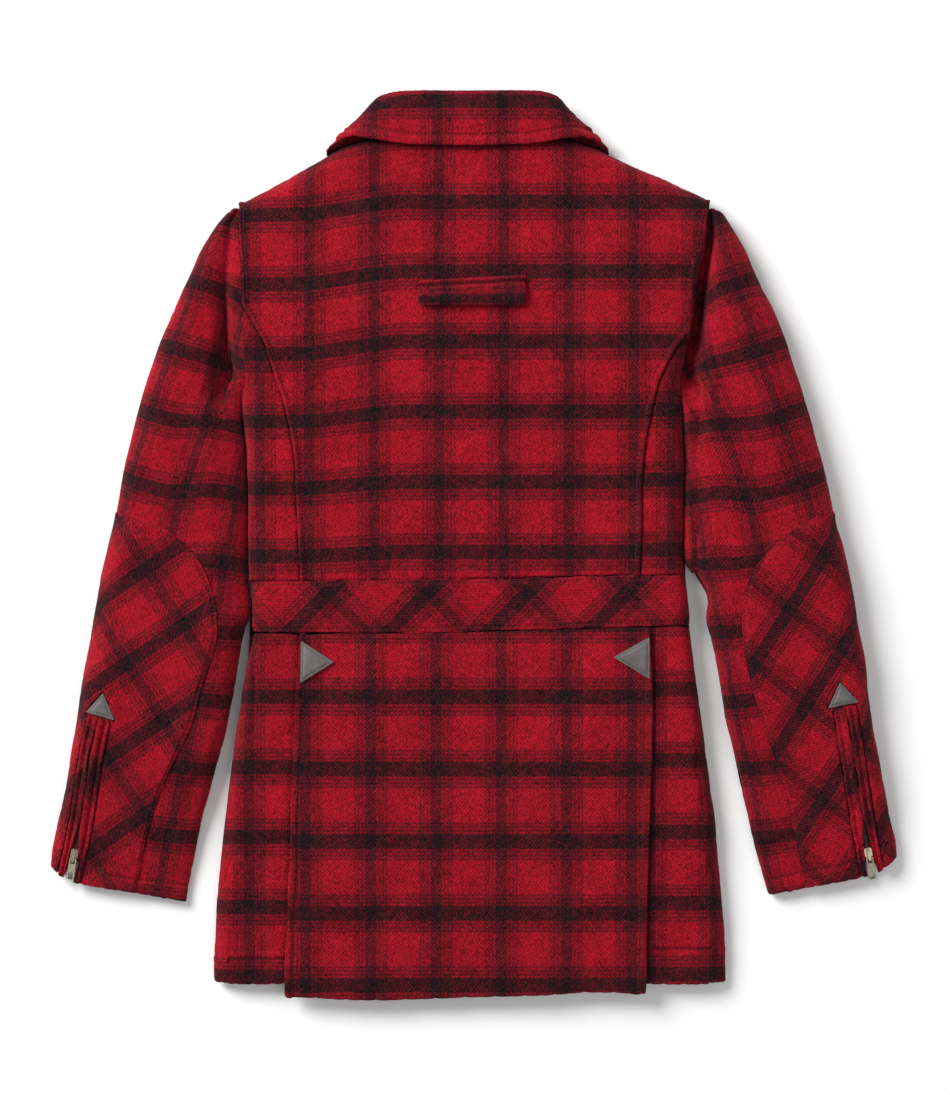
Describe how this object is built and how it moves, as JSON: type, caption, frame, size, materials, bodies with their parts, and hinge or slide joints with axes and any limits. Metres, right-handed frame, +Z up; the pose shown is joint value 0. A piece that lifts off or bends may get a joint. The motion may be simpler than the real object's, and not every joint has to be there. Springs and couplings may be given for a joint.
{
  "type": "wool parka",
  "caption": "Hip-length red and black plaid wool parka with a fall collar, waistband, elbow patches and cuff zips, laid flat with its back up.",
  "frame": {"origin": "on the surface the coat lies on, below the middle of its outline", "axes": "+X to the coat's right sleeve, +Y to the collar, +Z up from the surface"},
  "size_m": [0.7915, 0.8477, 0.0406],
  "materials": {
    "plaid_wool": "brushed twill in a red and black plaid",
    "bias_wool": "the same twill turned on the bias",
    "leather": "matte grey-brown",
    "antique_metal": "dull antique"
  },
  "bodies": {
    "coat": {"back_center": "plaid_wool", "back_side_left": "plaid_wool", "back_side_right": "plaid_wool", "skirt_back_center": "plaid_wool", "skirt_side_left": "plaid_wool", "skirt_side_right": "plaid_wool", "front_left": "plaid_wool", "front_right": "plaid_wool", "collar": "plaid_wool", "back_tab": "plaid_wool", "sleeve_upper_left": "plaid_wool", "sleeve_upper_right": "plaid_wool", "sleeve_under_left": "plaid_wool", "sleeve_under_right": "plaid_wool", "waistband_back": "bias_wool", "elbow_patch_left": "bias_wool", "elbow_patch_right": "bias_wool", "zip_welt_outer_left": "bias_wool", "zip_welt_inner_left": "bias_wool", "zip_welt_outer_right": "bias_wool", "zip_welt_inner_right": "bias_wool", "sleeve_triangle_left": "leather", "sleeve_triangle_right": "leather", "skirt_triangle_left": "leather", "skirt_triangle_right": "leather", "zip_chain_left": "antique_metal", "zip_chain_right": "antique_metal", "zip_slider_left": "antique_metal", "zip_slider_right": "antique_metal"},
    "pull_left": {"zip_pull_left": "antique_metal"},
    "pull_right": {"zip_pull_right": "antique_metal"}
  },
  "joints": [
    {"name": "pull_left_hinge", "type": "hinge", "parent": "coat", "child": "pull_left", "pos_m": [-0.37318, -0.29035, 0.02032], "axis": [-0.9737, 0.228, 0], "range_deg": [0, 150]},
    {"name": "pull_right_hinge", "type": "hinge", "parent": "coat", "child": "pull_right", "pos_m": [0.36832, -0.28926, 0.01942], "axis": [-0.9736, -0.2283, 0], "range_deg": [0, 150]}
  ]
}
